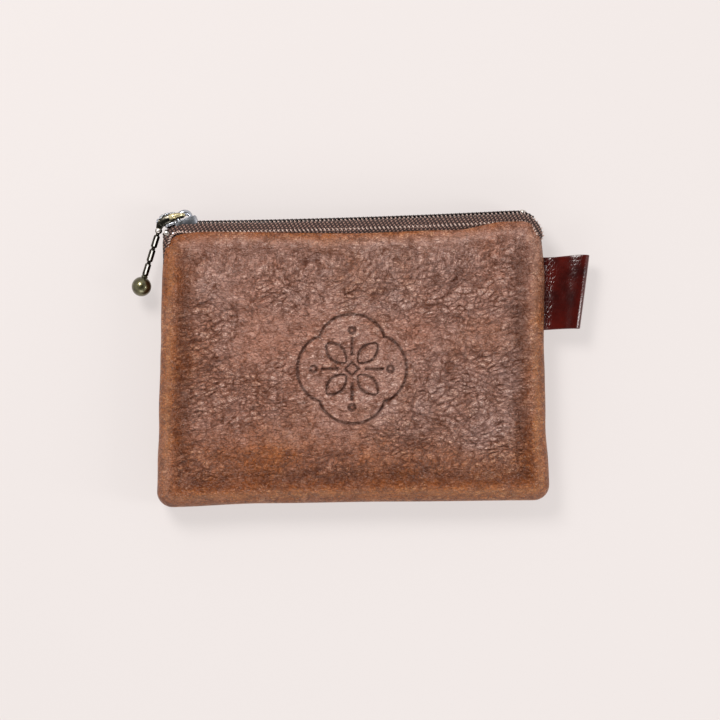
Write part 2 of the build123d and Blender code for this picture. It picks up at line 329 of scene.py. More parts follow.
def body_leather(name):
    """Waxed pull-up leather: a mauve-brown pebbled middle, orange-brown where it is stretched."""
    n = Nodes(name)
    warp = n.new("ShaderNodeTexNoise")
    warp.inputs["Scale"].default_value = 300
    warp.inputs["Detail"].default_value = 4
    n.link(n.place, warp.inputs["Vector"])
    push = n.new("ShaderNodeVectorMath", operation="MULTIPLY_ADD")
    push.inputs[1].default_value = (0.0030, 0.0030, 0.0030)
    n.link(warp.outputs["Color"], push.inputs[0])
    n.link(n.scaled(0.75, 1.25, 1), push.inputs[2])
    warped = push.outputs[0]
    pebbles = n.range(n.cells(560, warped), 0.0, 0.30)
    grains = n.range(n.cells(1250, warped), 0.0, 0.32)
    fibres = n.noise(520, 6, 0.68, n.scaled(0.9, 1.5, 1), distortion=1.8)
    broken = n.range(n.noise(210, 3, 0.6), 0.38, 0.62)
    relief = n.math("ADD", n.math("MULTIPLY", pebbles, 0.55), n.math("MULTIPLY", grains, 0.42))
    relief = n.math("ADD", relief, n.math("MULTIPLY", fibres, 0.34))
    gaps = n.math("MULTIPLY", n.range(pebbles, 0.24, 0.0), broken)
    small_gaps = n.math("MULTIPLY", n.range(grains, 0.38, 0.0), n.range(broken, 1, 0, 0.45, 1))
    patches = n.noise(34, 5, 0.6)
    mottling = n.noise(300, 6, 0.72, distortion=0.8)
    middle = n.mix(n.range(patches, 0.35, 0.65), (0.430, 0.204, 0.138), (0.500, 0.318, 0.268))
    rims = n.mix(n.range(patches, 0.3, 0.7), (0.300, 0.084, 0.015), (0.420, 0.142, 0.036))
    # orange-brown pull-up where the leather is stretched, together with the painted shade of the bottom
    # dip that the rim mask carries
    stretch_and_dip_shade = n.math("ADD", n.attribute("rim"), n.range(n.noise(55, 5, 0.7), 0.3, 0.7, -0.45, 0.50),
                       clamp=True)
    specks = n.noise(1000, 4, 0.7, n.scaled(0.9, 1.3, 1), distortion=1.0)
    base = n.mix(stretch_and_dip_shade, middle, rims)
    # pale tone for the painted highlights on the grain's raised tops and along the raised seam allowance
    highlight_tone = n.mix(stretch_and_dip_shade, (0.720, 0.540, 0.475), (0.620, 0.320, 0.150))
    flecks = n.noise(760, 4, 0.75, n.scaled(1.2, 1.0, 1), distortion=1.2)
    flecks = n.math("MULTIPLY", n.range(flecks, 0.50, 0.38), stretch_and_dip_shade)
    base = n.tint(base, flecks, 0.85, (0.120, 0.032, 0.008))
    base = n.tint(base, mottling, 0.80, (0.140, 0.038, 0.010), 0.47, 0.62)
    # painted shade in the fibres' hollows and painted highlight on their raised tops, following the
    # fibres in the bump
    base = n.tint(base, fibres, 0.32, (0.110, 0.030, 0.010), 0.50, 0.36)
    base = n.tint(base, fibres, 0.28, highlight_tone, 0.54, 0.66)
    # painted highlight on the tops of the wrinkles and pebbles
    crowns = n.math("MULTIPLY", n.range(n.attribute("crown"), 0.62, 0.98), n.range(grains, 0.1, 0.7))
    base = n.tint(base, crowns, 0.50, highlight_tone)
    # painted shade in the creases between the pebbles and between the finer grains
    base = n.tint(base, small_gaps, 0.66, (0.120, 0.034, 0.012))
    base = n.tint(base, gaps, 0.85, (0.080, 0.022, 0.008))
    # painted shade in the specks' hollows and painted highlight on their tops, following the speck bump
    base = n.tint(base, specks, 0.36, (0.110, 0.030, 0.010), 0.48, 0.34)
    base = n.tint(base, specks, 0.28, highlight_tone, 0.56, 0.70)
    # painted shade in the dip inside the raised seam allowance
    valley_shade = n.math("MULTIPLY", n.attribute("valley_shade"), n.range(n.noise(70, 4, 0.6), 0.3, 0.65, 0.35, 1))
    base = n.tint(base, valley_shade, 0.62, (0.105, 0.030, 0.010))
    # painted highlight along the crest of the raised seam allowance
    ridge_highlight = n.math("MULTIPLY", n.attribute("ridge_highlight"), n.range(n.noise(110, 4, 0.65), 0.3, 0.65, 0.2, 1))
    base = n.tint(base, ridge_highlight, 0.22, highlight_tone)
    # painted shade in the wrinkles' creases
    base = n.tint(base, n.attribute("crease"), 0.72, (0.065, 0.016, 0.006))
    # painted shade in the grooves of the pressed mark
    base = n.tint(base, n.attribute("press"), 0.65, (0.045, 0.013, 0.007))
    # painted shade where the leather rolls down to the seam
    base = n.tint(base, n.attribute("fold"), 0.70, (0.060, 0.020, 0.010))
    bumped = n.bump(relief, 0.46, 1.0)
    bumped = n.bump(specks, 0.05, 0.8, bumped)
    rough = n.range(n.noise(500, 4, 0.7), 0.3, 0.72, 0.42, 0.24)
    return n.set(base=base, rough=rough, normal=bumped, specular=0.55)


def oxblood_leather():
    """Polished dark red leather, with fine grain near the seam where it is creased."""
    n = Nodes("tab_leather")
    cloud = n.noise(130, 4, 0.6)
    base = n.mix(n.range(cloud, 0.3, 0.7), (0.024, 0.0015, 0.0010), (0.085, 0.0060, 0.0028))
    grain = n.cells(1000, n.scaled(1.6, 0.8, 1))
    near = n.attribute("rim")
    base = n.mix(n.math("MULTIPLY", n.range(grain, 0.1, 0.0), n.math("MULTIPLY", near, 0.5)), base,
                 (0.10, 0.018, 0.014))
    depth = n.math("MULTIPLY", n.math("MINIMUM", grain, 0.2), n.math("ADD", near, 0.12))
    bumped = n.bump(depth, 0.9, 0.8)
    bumped = n.bump(n.noise(420, 4, 0.6, n.scaled(1.4, 0.5, 1)), 0.05, 0.5, bumped)
    rough = n.range(n.noise(700, 3), 0.3, 0.7, 0.14, 0.24)
    return n.set(base=base, rough=rough, normal=bumped, coat=0.3, coat_rough=0.06)


def woven_tape():
    """Polyester zip tape, dark brown twill: slanted light flecks painted on the raised threads as
    highlights, and the hollows between them painted near-black as shade.
    """
    n = Nodes("zip_tape")
    ribs = []
    for turn, scale in ((0.95, 430), (-0.55, 300)):
        wave = n.new("ShaderNodeTexWave", wave_type="BANDS", bands_direction="X")
        wave.inputs["Scale"].default_value = scale
        wave.inputs["Distortion"].default_value = 1.2
        wave.inputs["Detail"].default_value = 1.0
        n.link(n.scaled(1, 1, 1, turn), wave.inputs["Vector"])
        ribs.append(wave.outputs["Fac"])
    fuzz = n.noise(1600, 3, 0.7)
    weave = n.math("MULTIPLY", ribs[0], ribs[1])
    # painted highlight on the raised threads and painted shade between them, following the weave in the
    # bump
    base = n.mix(n.range(weave, 0.12, 0.65), (0.020, 0.008, 0.006), (0.340, 0.205, 0.165))
    base = n.tint(base, fuzz, 0.70, (0.050, 0.022, 0.018), 0.46, 0.66)
    bumped = n.bump(n.math("ADD", weave, n.math("MULTIPLY", fuzz, 0.6)), 0.25, 1.0)
    return n.set(base=base, rough=0.72, normal=bumped, sheen=0.1)


def nylon():
    """Dark brown monofilament."""
    n = Nodes("coil_nylon")
    base = n.mix(n.range(n.noise(600, 2), 0.35, 0.65), (0.014, 0.007, 0.006), (0.055, 0.030, 0.026))
    rough = n.range(n.noise(1200, 2), 0.3, 0.7, 0.22, 0.36)
    return n.set(base=base, rough=rough)


def sewing_thread(name, light, dark):
    """Twisted polyester thread."""
    n = Nodes(name)
    twist = n.new("ShaderNodeTexWave", wave_type="BANDS", bands_direction="DIAGONAL")
    twist.inputs["Scale"].default_value = 1500
    n.link(n.place, twist.inputs["Vector"])
    base = n.mix(twist.outputs["Fac"], dark, light)
    return n.set(base=base, rough=0.55, normal=n.bump(twist.outputs["Fac"], 0.04, 0.7), sheen=0.2)


def plated(name, light, dark, smooth=0.16, worn=0.34, metal=1.0, lacquer=0.0):
    """Plated metal: small cast pits, and cloudy wear."""
    n = Nodes(name)
    cloud = n.noise(520, 5, 0.65)
    base = n.mix(n.range(cloud, 0.35, 0.65), dark, light)
    rough = n.range(n.noise(900, 4, 0.6), 0.3, 0.75, smooth, worn)
    pits = n.bump(n.noise(1600, 3), 0.02, 0.5)
    return n.set(base=base, rough=rough, metal=metal, coat=lacquer, coat_rough=0.12, normal=pits)


BODY_LEATHER = body_leather("body_leather")
TAB_LEATHER = oxblood_leather()
TAPE_CLOTH = woven_tape()
NYLON = nylon()
SEWING = sewing_thread("seam_thread", (0.20, 0.10, 0.06), (0.07, 0.03, 0.018))
COIL_SEWING = sewing_thread("coil_thread", (0.68, 0.53, 0.47), (0.26, 0.17, 0.14))
NICKEL = plated("slider_nickel", (0.62, 0.64, 0.70), (0.34, 0.35, 0.37), 0.14, 0.30)
BRIGHT = plated("bright_nickel", (0.80, 0.76, 0.72), (0.50, 0.46, 0.42), 0.22, 0.4)
GUNMETAL = plated("gunmetal", (0.115, 0.105, 0.085), (0.035, 0.032, 0.026), 0.14, 0.26)
# near-white and barely metallic: painted glints for the strips on the rod's facets
GLINT_STEEL = plated("glint_steel", (0.98, 0.96, 0.92), (0.88, 0.86, 0.80), 0.35, 0.5, 0.2)
# bright yellow brass: the painted highlight on the puller's cheeks and eye
HIGHLIGHT_BRASS = plated("highlight_brass", (0.86, 0.78, 0.52), (0.60, 0.50, 0.28), 0.22, 0.36)
OLD_BRASS = plated("old_brass", (0.190, 0.175, 0.095), (0.070, 0.062, 0.032), 0.26, 0.44, 1.0, 0.9)


def finish_piece(piece, material, body, slot, *nodes):
    """Give a piece its material and its body, and hide the CAD nodes it stands for; slot is not used."""
    piece.data.materials.clear()
    piece.data.materials.append(material)
    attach(piece, body)
    if nodes:
        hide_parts(*nodes)
    return piece


# ---------------------------------------------------------------- the leather body


def side_left(y):
    return ramp(y, [(-41, -59.6), (-24, -59.1), (15, -58.3), (38, -57.6)])


def side_right(y):
    return ramp(y, [(-40, 59.7), (-18, 58.5), (8, 58.0), (26, 58.2), (40, 57.0)])


def bottom_edge(x):
    return ramp(x, [(-57, -44.8), (-26, -43.6), (12, -43.1), (57, -42.7)])


def lip_edge(x):
    return ramp(x, [(-56, 37.9), (-44, 38.8), (-2, 38.3), (30, 39.3), (47, 41.9), (57, 42.2)])


LOW_Y = -42
SPAN_Y = 81


def outline_point(a, b):
    """A point of the square from -1 to 1 carried into the outline's slightly uneven sides."""
    share = (b + 1) / 2
    y = LOW_Y + share * SPAN_Y
    for _ in range(3):
        x = side_left(y) + (side_right(y) - side_left(y)) * (a + 1) / 2
        y = bottom_edge(x) + (lip_edge(x) - bottom_edge(x)) * share
    return x, y


WRINKLE_HEIGHT = 0.90
HALF_W = 58.8
HALF_H = 41.3
CORNER_LOW = 5.0
CORNER_HIGH = 6.8


def rounded(a, b, inset):
    """A point of the square's edge, on the rounded rectangle that lies inset inside the body's edge."""
    w, h = HALF_W - inset, HALF_H - inset
    corner = CORNER_HIGH if b > 0 else CORNER_LOW
    r = max(corner - inset, 1.2)
    x, y = a * w, b * h
    cx, cy = w - r, h - r
    if abs(x) > cx and abs(y) > cy:
        dx, dy = abs(x) - cx, abs(y) - cy
        reach = math.hypot(dx, dy)
        x = math.copysign(cx + dx / reach * r, x)
        y = math.copysign(cy + dy / reach * r, y)
    return x / HALF_W, y / HALF_H


RIM_STEPS = 26
RIM_END = 14.0
ROLL_SHARE = 0.42
ROWS = 290
COLUMNS = 400


def rim_profile(s, lip):
    """How far in and how high the leather is at s, from 0 at the seam to 1 where the middle starts.

    lip is 1 along the zip and 0 along the other sides.
    """
    turn = min(s / ROLL_SHARE, 1.0) * math.pi / 2
    side_in = 4.3 * (1 - math.cos(turn))
    side_up = 6.15 * math.sin(turn) ** 0.9
    groove = 0.45 * math.exp(-((s / 0.05) ** 2))
    lip_in = 2.6 * (1 - math.cos(turn))
    lip_up = 4.25 + 1.55 * math.sin(turn) ** 0.8
    inset = (side_in + groove) * (1 - lip) + lip_in * lip
    up = side_up * (1 - lip) + lip_up * lip
    if s > ROLL_SHARE:
        inset += (RIM_END - inset) * (s - ROLL_SHARE) / (1 - ROLL_SHARE)
    return inset, up


def plateau(x, y, inset, lip, front):
    """Height added above the rim's own height: a raised seam allowance, a dip, and a soft middle."""
    ridge = 1.25 * math.exp(-(((inset - 4.2) / 1.9) ** 2)) * (1 - 0.65 * lip)
    dip = -1.25 * math.exp(-(((inset - 8.0) / 2.1) ** 2)) * (1 - 0.5 * lip)
    middle = 0.75 * smooth_step(inset, 7.5, 24)
    if not front:
        return ridge * 0.5 + dip * 0.4 + middle * 1.1
    slow = noise.noise((x * 0.035, y * 0.04, 3.0)) * 0.55 + noise.noise((x * 0.09, y * 0.1, 9.0)) * 0.28
    return ridge + dip + middle + slow * smooth_step(inset, 2, 12)


MARK = (-0.3, -2.7)
MARK_R = 17.0
PETAL_START = 2.6
PETAL_LENGTH = 8.2
PETAL_HALF = 2.35
STEM = (4.0, 9.5)
DOT_REACH = 11.6
DOT_R = 0.9
LOZENGE = 2.0
GROOVE_DEPTH = 0.60


def petal_distance(x, y):
    """Distance to the pressed rosette's lines: a quatrefoil, its four petals and a small lozenge."""
    r = math.hypot(x, y)
    turn = math.atan2(y, x)
    best = abs(r - MARK_R * (0.80 + 0.17 * abs(math.cos(2 * turn)) ** 0.7))
    for k in range(8):
        angle = k * math.pi / 4
        lx = x * math.cos(angle) + y * math.sin(angle)
        ly = -x * math.sin(angle) + y * math.cos(angle)
        if k % 2:
            t = (lx - PETAL_START) / PETAL_LENGTH
            if 0 < t < 1:
                best = min(best, abs(abs(ly) - PETAL_HALF * math.sin(math.pi * t) ** 0.75))
            continue
        if STEM[0] < lx < STEM[1]:
            best = min(best, abs(ly))
        best = min(best, abs(math.hypot(lx - DOT_REACH, ly) - DOT_R))
    return min(best, abs(abs(x) + abs(y) - LOZENGE))


def pressed(x, y):
    """1 in the grooves of the pressed mark, 0 away from it."""
    dx, dy = x - MARK[0], y - MARK[1]
    if math.hypot(dx, dy) > MARK_R * 1.1:
        return 0.0
    return 1 - smooth_step(petal_distance(dx, dy), 0.22, 0.62)


def creases(x, y):
    """Height of the wrinkles and pebbles along the pouch, and how deep in a crease the point is, for the
    painted shade in the creases.
    """
    bend = noise.noise((x * 0.07, y * 0.09, 21.0)) * 1.5 + noise.noise((x * 0.3, y * 0.3, 4.0)) * 0.35
    fold = abs(noise.noise((x * 0.13 + bend, y * 0.34 + bend, 5.0)))
    near, far = noise.voronoi((x * 0.36 + bend * 0.7, y * 0.62 + bend * 0.9, 2.0))[0][:2]
    edge = far - near
    fine = noise.voronoi((x * 0.85 - bend, y * 1.15 + bend, 8.0))[0]
    small = fine[1] - fine[0]
    strength = smooth_step(noise.noise((x * 0.05, y * 0.06, 31.0)) + 0.003 * (x + y), -0.75, 0.12)
    height = 0.40 * min(fold * 3.2, 1) + 0.58 * smooth_step(edge, 0.0, 0.34)
    height += 0.16 * smooth_step(small, 0, 0.4)
    depth = max(1 - smooth_step(fold, 0.0, 0.07), 1 - smooth_step(edge, 0.0, 0.13),
                0.65 * (1 - smooth_step(small, 0.0, 0.18)))
    return height * (0.45 + 0.55 * strength), depth * (0.35 + 0.65 * strength)


def stations(count, half):
    """Places from -1 to 1 across the leather, closer together over the rims."""
    inner = 1 - RIM_END / half
    middle = count - 2 * RIM_STEPS
    out = [-1 + (1 - inner) * k / RIM_STEPS for k in range(RIM_STEPS)]
    out += [-inner + 2 * inner * k / (middle - 1) for k in range(middle)]
    out += [inner + (1 - inner) * (k + 1) / RIM_STEPS for k in range(RIM_STEPS)]
    return out


def leather_side(name, front):
    """One leather panel: rolled rim, raised allowance, wrinkles and, in front, the mark."""
    xs = stations(COLUMNS, HALF_W)
    ys = stations(ROWS, HALF_H)
    inner_x = 1 - RIM_END / HALF_W
    inner_y = 1 - RIM_END / HALF_H
    vertices = []
    marks = {label: [] for label in ("rim", "press", "fold", "crease", "valley_shade", "ridge_highlight", "crown")}
    for b in ys:
        for a in xs:
            out_x = max(0.0, (abs(a) - inner_x) / (1 - inner_x))
            out_y = max(0.0, (abs(b) - inner_y) / (1 - inner_y))
            out = max(out_x, out_y)
            if out > 0:
                # the ring through this point, and where on it the point lies
                s = 1 - out
                ring_x = inner_x + (1 - inner_x) * out
                ring_y = inner_y + (1 - inner_y) * out
                qa, qb = a / ring_x, b / ring_y
                lip = smooth_step(qb, 0.80, 0.97) * smooth_step(1 - abs(qa), -0.02, 0.05)
                inset, up = rim_profile(s, lip)
                px, py = rounded(qa, qb, inset)
            else:
                lip = smooth_step(b, 0.3, inner_y)
                px, py = a, b
                inset = min(HALF_W * (1 - abs(a)), HALF_H * (1 - abs(b)))
                up = rim_profile(1.0, 0)[1]
                up += (rim_profile(1.0, 1)[1] - up) * lip
                s = 1.0
            x, y = outline_point(px, py)
            z = up
            rise = smooth_step(s, 0.12, 0.45)
            z += plateau(x, y, inset, lip, front) * rise
            # darkened in the material as painted shade along the roll down to the seam
            fold = 1 - smooth_step(s, 0.0, 0.10)
            press = 0.0
            crease = 0.0
            wrinkle = 0.5
            if front:
                wrinkle, crease = creases(x, y)
                inside = 0.30 + 0.70 * smooth_step(inset, 2, 11)
                near_mark = 1 - smooth_step(math.hypot(x - MARK[0], y - MARK[1]), MARK_R - 3, MARK_R + 6)
                z += WRINKLE_HEIGHT * (wrinkle - 0.5) * rise * inside * (1 - 0.45 * near_mark)
                crease *= inside * (1 - 0.5 * near_mark)
                z += 0.07 * noise.fractal((x * 0.55, y * 0.65, 1.0), 0.9, 2.1, 3) * rise
                press = pressed(x, y)
                z -= GROOVE_DEPTH * press
            else:
                z = min(z, MID - 0.02)
                z += 0.06 * min(noise.fractal((x * 0.5, y * 0.6, 2.0), 0.9, 2.1, 3), 0) * rise
            wobble = noise.noise((x * 0.12, y * 0.12, 7.0 if front else 17.0)) * 0.22 * (1 - lip)
            vertices.append((x + wobble * (1 - s) * (1 if a > 0 else -1), y, z))
            rim = math.exp(-((inset / (7.5 - 4.5 * lip)) ** 2)) - (x / HALF_W + y / HALF_H) * 0.16
            # a band over the dip near the bottom, darker and more orange: partly the leather's pull-up
            # colour and partly painted shade in the dip
            rim += 0.55 * math.exp(-(((y + 31) / 7) ** 2))
            # where the painted shade of the dip lies
            valley_shade = math.exp(-(((inset - 7.6 + 1.6 * lip) / 2.4) ** 2)) * (1 - 0.4 * lip)
            # where the painted highlight along the allowance's crest lies
            ridge_highlight = math.exp(-(((inset - 3.0) / 1.2) ** 2)) * (1 - 0.6 * lip)
            here = (min(max(rim, 0.0), 1.0), press, fold, crease, valley_shade, ridge_highlight, wrinkle)
            for values, value in zip(marks.values(), here):
                values.append(value)
    sign = 1 if front else -1
    vertices = [(x, y, MID + sign * z) for x, y, z in vertices]
    faces = grid_faces(ROWS, COLUMNS)
    if not front:
        faces = [f[::-1] for f in faces]
    piece = add_mesh(name, vertices, faces)
    if (piece.data.polygons[len(faces) // 2].normal.z > 0) != front:
        piece.data.flip_normals()
    for label, values in marks.items():
        mark(piece, label, values)
    solid = piece.modifiers.new("leather", "SOLIDIFY")
    solid.thickness = LEATHER * MM
    solid.offset = -1
    solid.use_even_offset = False
    apply_modifiers(piece)
    for polygon in piece.data.polygons:
        polygon.use_smooth = True
    return piece


front_leather = leather_side("front_leather", True)
finish_piece(front_leather, BODY_LEATHER, "pouch", "leather_body", "front_panel")
back_leather = leather_side("back_leather", False)
finish_piece(back_leather, BODY_LEATHER, "pouch", "leather_body", "back_panel")

# ---------------------------------------------------------------- the zip


LEFT_TURN = 7.0
RIGHT_TURN = 8.5
LEFT_END = -58.6
RIGHT_END = 57.9


def ridge_path(step):
    """The chain's line: up the left seam, along the top and down into the right seam, in even steps."""
    points = [(LEFT_END, -14.0 + k * 1.0) for k in range(7)]
    points += arc((LEFT_END + LEFT_TURN, -LEFT_TURN), LEFT_TURN, 180, 90, 14)
    points += [(LEFT_END + LEFT_TURN + k * 1.0, 0) for k in
               range(1, int(RIGHT_END - RIGHT_TURN - LEFT_END - LEFT_TURN))]
    points += arc((RIGHT_END - RIGHT_TURN, -RIGHT_TURN), RIGHT_TURN, 90, 0, 16)
    points += [(RIGHT_END - 0.7 * k, -RIGHT_TURN - k * 1.0) for k in range(1, 6)]
    out = []
    for u, v in points:
        sag = -0.45 * (1 - (u / 46) ** 2) if abs(u) < 46 else 0
        out.append(Vector((u, v + sag, 0)))
    even = [out[0]]
    carried = 0.0
    for a, b in zip(out, out[1:]):
        length = (b - a).length
        while carried + length >= step:
            t = (step - carried) / length
            a = a + (b - a) * t
            length = (b - a).length
            even.append(a.copy())
            carried = 0.0
        carried += length
    return even


def ridge_frames(step):
    """Points of the chain's line with its tangent and outward normal."""
    points = ridge_path(step)
    out = []
    for i, p in enumerate(points):
        tangent = (points[min(i + 1, len(points) - 1)] - points[max(i - 1, 0)]).normalized()
        out.append((p, tangent, Vector((-tangent.y, tangent.x, 0))))
    return out


ZIP = zip_matrix()
TAPE_STEP = 0.8
TAPE_CLOTH_THICK = 0.4
COIL_WIRE = 0.26
COIL_MIDDLE = 0.78
COIL_REACH = 0.98
COIL_V = -0.62
COIL_RISE = 0.40
CHAIN_PARTED = 1.25


def tape_cloth(name, sign):
    """Half the tape: flat under the coil, then over a soft edge and down inside the leather."""
    section = [(-1.25, 0.10), (-1.22, 1.4), (-1.2, 2.6), (-1.32, 3.45), (-1.75, 3.98), (-2.5, 4.12),
               (-3.6, 4.15), (-4.8, 4.12), (-6.4, 4.05), (-8.4, 4.0)]
    rings = []
    for p, _, normal in ridge_frames(TAPE_STEP):
        corner = smooth_step(abs(p.x), 49, 58)
        ring = []
        for depth, across in section:
            across = across * (1 - 0.12 * corner) if across > 2 else across
            depth = depth * (1 - 0.25 * corner)
            q = p + normal * depth
            ring.append(ZIP @ Vector((q.x, q.y, sign * across)))
        rings.append(ring)
    vertices, faces = loft(rings, closed=False, caps=False)
    piece = add_mesh(name, vertices, faces)
    solid = piece.modifiers.new("cloth", "SOLIDIFY")
    solid.thickness = TAPE_CLOTH_THICK * MM
    solid.offset = 0
    return apply_modifiers(piece)


def chain_gap(u):
    """How far a coil half stands from the middle: shut, or parted round the slider's neck."""
    return CHAIN_PARTED * smooth_step(-u, -(SLIDER_U + 1.0), -(SLIDER_U - 3.0))


def chain_coil(name, sign, phase):
    """One chain half: a filament wound in flat turns whose heads reach between the other half's."""
    points = []
    frames = ridge_frames(PITCH / TURN_STEPS)
    for i, (p, _, normal) in enumerate(frames):
        if p.x < SLIDER_U - 5.0 or p.x > RIGHT_END - 3.0 or (p.x > 0 and p.y < -4.0):
            continue
        turn = 2 * math.pi * (i / TURN_STEPS + phase)
        across = COIL_MIDDLE + COIL_REACH * math.cos(turn) + chain_gap(p.x)
        up = COIL_V + COIL_RISE * math.sin(turn)
        q = p + normal * up
        points.append(ZIP @ Vector((q.x, q.y, sign * across)))
    return add_mesh(name, *tube(points, COIL_WIRE, 6))


def coil_stitches(name, sign):
    """The rows of thread that sew the coil to its tape: short slanted stitches beside the chain."""
    chunks = []
    for row, (across, depth) in enumerate(((2.15, -1.0), (4.40, -3.75))):
        for p, tangent, normal in ridge_frames(PITCH):
            if row == 0 and p.x < SLIDER_U - 5.0:
                continue
            corner = smooth_step(abs(p.x), 49, 58)
            drop = depth * (1 - 0.25 * corner)
            lean = tangent * 0.30
            a = p + normal * (drop + 0.42) - lean
            b = p + normal * (drop - 0.42) + lean
            low = ZIP @ Vector((a.x, a.y, sign * across))
            high = ZIP @ Vector((b.x, b.y, sign * across))
            middle = (low + high) / 2 + Vector((0, 0, sign * 0.08))
            chunks.append(tube([low, middle, high], [0.13, 0.25, 0.13], 6))
    return add_mesh(name, *joined(chunks))


for side, sign, phase in (("front", 1, 0.0), ("back", -1, 0.5)):
    tape = tape_cloth(f"{side}_tape_cloth", sign)
    finish_piece(tape, TAPE_CLOTH, "pouch", "zip_tape", f"{side}_zip_tape")
    chain = chain_coil(f"{side}_chain_coil", sign, phase)
    finish_piece(chain, NYLON, "pouch", "coil_nylon", f"{side}_coil")
    sewing = coil_stitches(f"{side}_coil_stitches", sign)
    finish_piece(sewing, COIL_SEWING, "pouch", "thread")
    for half in (tape, chain, sewing):
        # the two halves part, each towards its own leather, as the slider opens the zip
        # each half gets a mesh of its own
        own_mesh(half)

# ---------------------------------------------------------------- slider and pull

PIVOT_S, PIVOT_V = -5.9, -2.7
EYE_S, EYE_V = 1.9, 1.85
SLIDER = ZIP @ Matrix.Translation((SLIDER_U, 0, 0))
EYE = Matrix.Translation((EYE_S, EYE_V, 0))
TOP_PLATE = (-0.15, 0.65)
FLOOR_PLATE = (-3.05, -2.35)
BRIDGE_REACH = 2.0
BRIDGE_V = 0.30
BRIDGE_RISE = 2.15
TILTED = SLIDER @ EYE @ Matrix.Rotation(SLIDER_TILT, 4, "Z") @ EYE.inverted()


def slider_plan():
    """The slider's plan in s and w: a wide rounded mouth and a narrower tail."""
    right = [(5.2, 2.2), (4.7, 2.95), (3.9, 3.2), (1.4, 3.2), (-0.6, 3.75), (-3.0, 3.95), (-4.0, 3.6),
             (-4.5, 2.6), (-4.6, 1.2)]
    return right + [(s, -w) for s, w in reversed(right)]


def slider_casting():
    """The cast slider: two plates, side flanges over its tail half, and the neck."""

    def level(s, w, v):
        return TILTED @ Vector((s, v, w))

    chunks = [slab(slider_plan(), *TOP_PLATE, level), slab(slider_plan(), *FLOOR_PLATE, level)]
    for sign in (1, -1):
        flange = [(5.3, 2.3), (5.0, 3.0), (4.2, 3.35), (1.2, 3.4), (-1.3, 3.85), (-1.3, 2.9), (1.4, 2.2),
                  (5.3, 1.9)]
        flange = [(s, sign * w) for s, w in flange]
        chunks.append(slab(flange, -2.0, 0.55, level))
        chunks.append(slab(flange, -2.75, -2.15, level))
    neck = [(-1.4, 0.0), (-2.4, 0.75), (-3.9, 0.9), (-4.3, 0.0), (-3.9, -0.9), (-2.4, -0.75)]
    chunks.append(slab(neck, -2.6, 0.0, level))
    return bevel(add_mesh("slider_casting", *joined(chunks)), 0.16, 3, 30)


def slider_bridge():
    """The arched bridge: a flat bar rising from the plate and coming back to it."""
    rings = []
    for k in range(25):
        turn = math.pi * k / 24
        s = EYE_S - 0.1 + BRIDGE_REACH * math.cos(turn)
        v = BRIDGE_V + BRIDGE_RISE * math.sin(turn) ** 0.72
        half_width = 1.25 + 0.75 * math.sin(turn)
        thick = 0.50 + 0.50 * math.sin(turn)
        out_s, out_v = math.cos(turn), math.sin(turn)
        ring = []
        for a in range(12):
            t = 2 * math.pi * a / 12
            w = half_width * math.copysign(abs(math.cos(t)) ** 0.5, math.cos(t))
            h = thick * math.copysign(abs(math.sin(t)) ** 0.8, math.sin(t))
            ring.append(TILTED @ Vector((s + out_s * h, v + out_v * h, w)))
        rings.append(ring)
    return add_mesh("slider_bridge", *loft(rings))


casting = slider_casting()
finish_piece(casting, NICKEL, "slider", "slider_metal", "slider_body")
bridge = slider_bridge()
finish_piece(bridge, NICKEL, "slider", "slider_metal")


# The link's centre line from the eye to the pivot, each point with its half thickness and half width
LINK_PATH = (((1.9, 1.75), 0.60, 2.1), ((0.6, 1.65), 0.85, 2.15), ((-0.9, 1.35), 1.15, 2.1),
             ((-2.4, 0.90), 1.45, 1.95), ((-3.8, 0.40), 1.60, 1.75), ((-4.9, -0.30), 1.35, 1.55),
             ((-5.5, -1.1), 1.05, 1.40), ((-5.8, -2.0), 0.80, 1.30), ((-5.9, -2.7), 0.75, 1.25))
LINK_SECTION = ((1, 0.5), (0.72, 1), (-0.72, 1), (-1, 0.5), (-1, -0.5), (-0.72, -1), (0.72, -1),
                (1, -0.5))


def link_rings(inner, outer, first, last):
    """Cross-sections of the link between two of its points, from w inner to w outer of its half width."""
    rings = []
    centre = [Vector((s, v, 0)) for (s, v), _, _ in LINK_PATH]
    for k in range(first, last + 1):
        run = (centre[min(k + 1, len(centre) - 1)] - centre[max(k - 1, 0)]).normalized()
        rise = Vector((-run.y, run.x, 0))
        _, thick, half = LINK_PATH[k]
        middle, reach = half * (outer + inner) / 2, half * (outer - inner) / 2
        rings.append([SLIDER @ (centre[k] + rise * (thick * d) + Vector((0, 0, middle + reach * c)))
                      for c, d in LINK_SECTION])
    return rings


def puller_link():
    """The puller's dark part: a thick cranked link and the fork at its lower end."""
    last = len(LINK_PATH) - 1
    chunks = [loft(link_rings(-1, 1, 2, last - 2))]
    for sign in (1, -1):
        low, high = sorted((sign * 0.98, sign * 0.80))
        chunks.append(loft(link_rings(low, high, 0, 3)))
        low, high = sorted((sign * 1.0, sign * 0.42))
        chunks.append(loft(link_rings(low, high, last - 3, last)))
    return bevel(add_mesh("puller_link", *joined(chunks)), 0.12, 2, 40)


def puller_cheeks():
    """The two cheeks that carry the eye beside the bridge, in bright brass as a painted highlight."""
    chunks = []
    for sign in (1, -1):
        points, radii = [], []
        for k in range(4):
            (s, v), thick, half = LINK_PATH[k]
            points.append(SLIDER @ Vector((s, v + 0.15, sign * (half * 0.9 + 0.1))))
            radii.append(thick * 0.72)
        chunks.append(tube(points, radii, 16))
    return add_mesh("puller_cheeks", *joined(chunks))


def puller_eye():
    """The bar of the puller's eye under the bridge, in bright brass as a painted highlight."""
    rings = [(-2.0, 0.35), (-1.8, 0.50), (-0.5, 0.60), (0.5, 0.60), (1.8, 0.50), (2.0, 0.35)]
    points = [SLIDER @ Vector((EYE_S, EYE_V, w)) for w, _ in rings]
    return add_mesh("puller_eye", *tube(points, [r for _, r in rings], 14))


